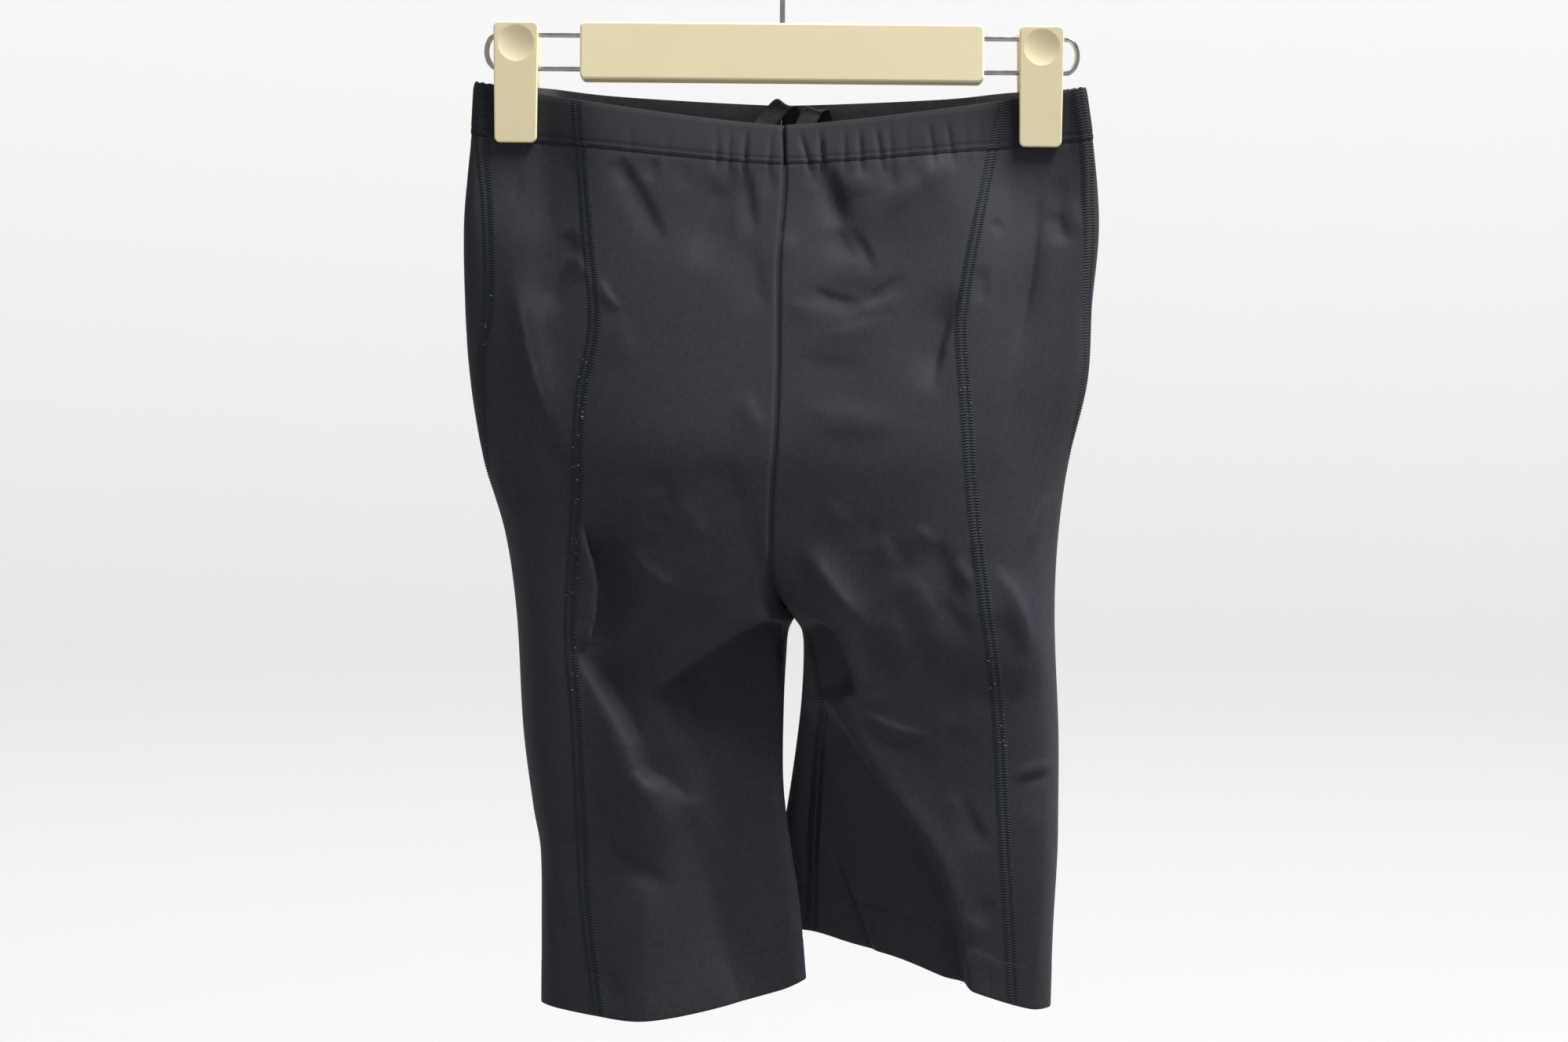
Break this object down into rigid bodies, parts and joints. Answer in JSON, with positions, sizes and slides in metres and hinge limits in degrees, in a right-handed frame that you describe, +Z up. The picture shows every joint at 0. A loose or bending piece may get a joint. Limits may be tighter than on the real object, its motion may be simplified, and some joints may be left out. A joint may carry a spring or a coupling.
{
  "type": "knee-length stretch sports shorts on a clip hanger",
  "caption": "Close-fitting knee-length stretch shorts with flatlock seams, an elastic drawstring waist and turned hems, hung flat by the waist from a clip hanger.",
  "frame": {"origin": "the inside top of the hanger's hook, where a rail carries it", "axes": "+Z up, -Y towards the shown (front) side, +X to the viewer's right of the shown side"},
  "size_m": [0.3372, 0.0728, 0.6137],
  "materials": {
    "knit": "charcoal stretch knit, soft low sheen",
    "casing_knit": "charcoal stretch knit, gathered over elastic",
    "braid": "flat black braid",
    "hanger_plastic": "cream moulded plastic, semi-gloss",
    "chrome_wire": "bright plated wire"
  },
  "bodies": {
    "root": {"front_panel_left": "knit", "side_panel_left": "knit", "back_panel_left": "knit", "front_casing_left": "casing_knit", "side_casing_left": "casing_knit", "back_casing_left": "casing_knit", "front_hem_left": "knit", "side_hem_left": "knit", "back_hem_left": "knit", "drawstring_left": "braid", "clip_front_jaw_left": "hanger_plastic", "clip_rear_jaw_left": "hanger_plastic", "front_panel_right": "knit", "side_panel_right": "knit", "back_panel_right": "knit", "front_casing_right": "casing_knit", "side_casing_right": "casing_knit", "back_casing_right": "casing_knit", "front_hem_right": "knit", "side_hem_right": "knit", "back_hem_right": "knit", "drawstring_right": "braid", "clip_front_jaw_right": "hanger_plastic", "clip_rear_jaw_right": "hanger_plastic", "hanger_bar": "hanger_plastic", "hanger_rail": "chrome_wire", "hanger_hook": "chrome_wire"}
  },
  "joints": []
}
